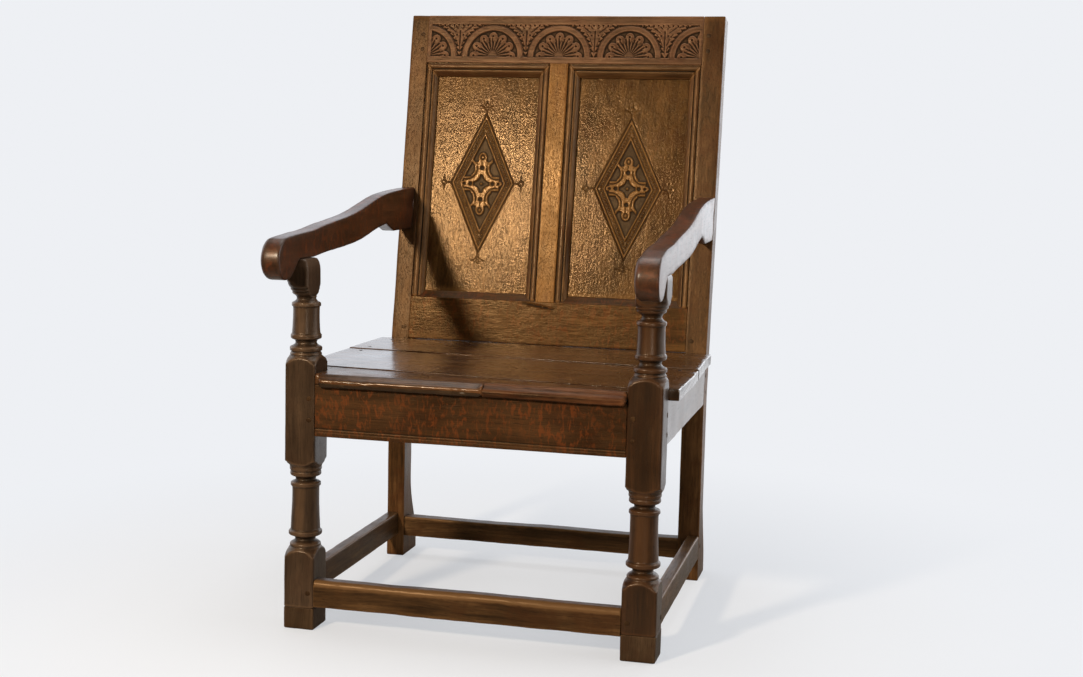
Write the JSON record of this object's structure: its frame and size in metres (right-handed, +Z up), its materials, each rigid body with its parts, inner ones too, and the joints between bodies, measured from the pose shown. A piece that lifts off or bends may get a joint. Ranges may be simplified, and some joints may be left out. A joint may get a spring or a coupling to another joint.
{
  "type": "armchair",
  "caption": "Joined oak wainscot armchair: turned front legs, low stretchers, board seat, scrolled arms and a raked frame-and-panel back with carved rail and panels.",
  "frame": {"origin": "on the floor, under the centre of the whole chair's box", "axes": "+X to the chair's right as seen from in front, +Y to the back, +Z up"},
  "size_m": [0.666, 0.7586, 1.075],
  "materials": {
    "oak_arms": "waxed, dark red-brown old oak, glossy where hands have rubbed it",
    "oak_seat": "waxed dark brown oak, worn and scratched",
    "oak_nosing_patch": "waxed, paler red-brown later oak",
    "oak_seat_rails": "waxed brown oak with orange ray fleck",
    "oak_stretchers": "waxed dark grey-brown oak",
    "oak_front_legs": "waxed dark grey-brown oak",
    "oak_back_panels": "waxed golden-brown oak, dark in the carving",
    "oak_mouldings": "waxed brown oak",
    "oak_back_frame": "waxed golden-brown oak, darker to the top",
    "oak_pegs": "riven oak pegs, darkened",
    "iron_nails": "hand-forged iron, rusted dark"
  },
  "bodies": {
    "root": {"arm_left": "oak_arms", "arm_right": "oak_arms", "back_bottom_rail": "oak_back_frame", "back_muntin": "oak_back_frame", "back_panel_left": "oak_back_panels", "back_panel_right": "oak_back_panels", "back_post_left": "oak_back_frame", "back_post_right": "oak_back_frame", "crest_rail": "oak_back_frame", "front_foot_tip_left": "oak_front_legs", "front_foot_tip_right": "oak_front_legs", "front_leg_left": "oak_front_legs", "front_leg_right": "oak_front_legs", "moulding_left_muntin": "oak_mouldings", "moulding_left_stile": "oak_mouldings", "moulding_left_top": "oak_mouldings", "moulding_right_muntin": "oak_mouldings", "moulding_right_stile": "oak_mouldings", "moulding_right_top": "oak_mouldings", "pegs_back": "oak_pegs", "pegs_front_rail": "oak_pegs", "pegs_side_rails": "oak_pegs", "pegs_stretchers": "oak_pegs", "seat_board_back": "oak_seat", "seat_board_front": "oak_seat", "seat_board_middle": "oak_seat", "seat_nails": "iron_nails", "seat_nosing_patch": "oak_nosing_patch", "seat_rail_back": "oak_seat_rails", "seat_rail_front": "oak_seat_rails", "seat_rail_left": "oak_seat_rails", "seat_rail_right": "oak_seat_rails", "stretcher_back": "oak_stretchers", "stretcher_front": "oak_stretchers", "stretcher_left": "oak_stretchers", "stretcher_right": "oak_stretchers"}
  },
  "joints": []
}
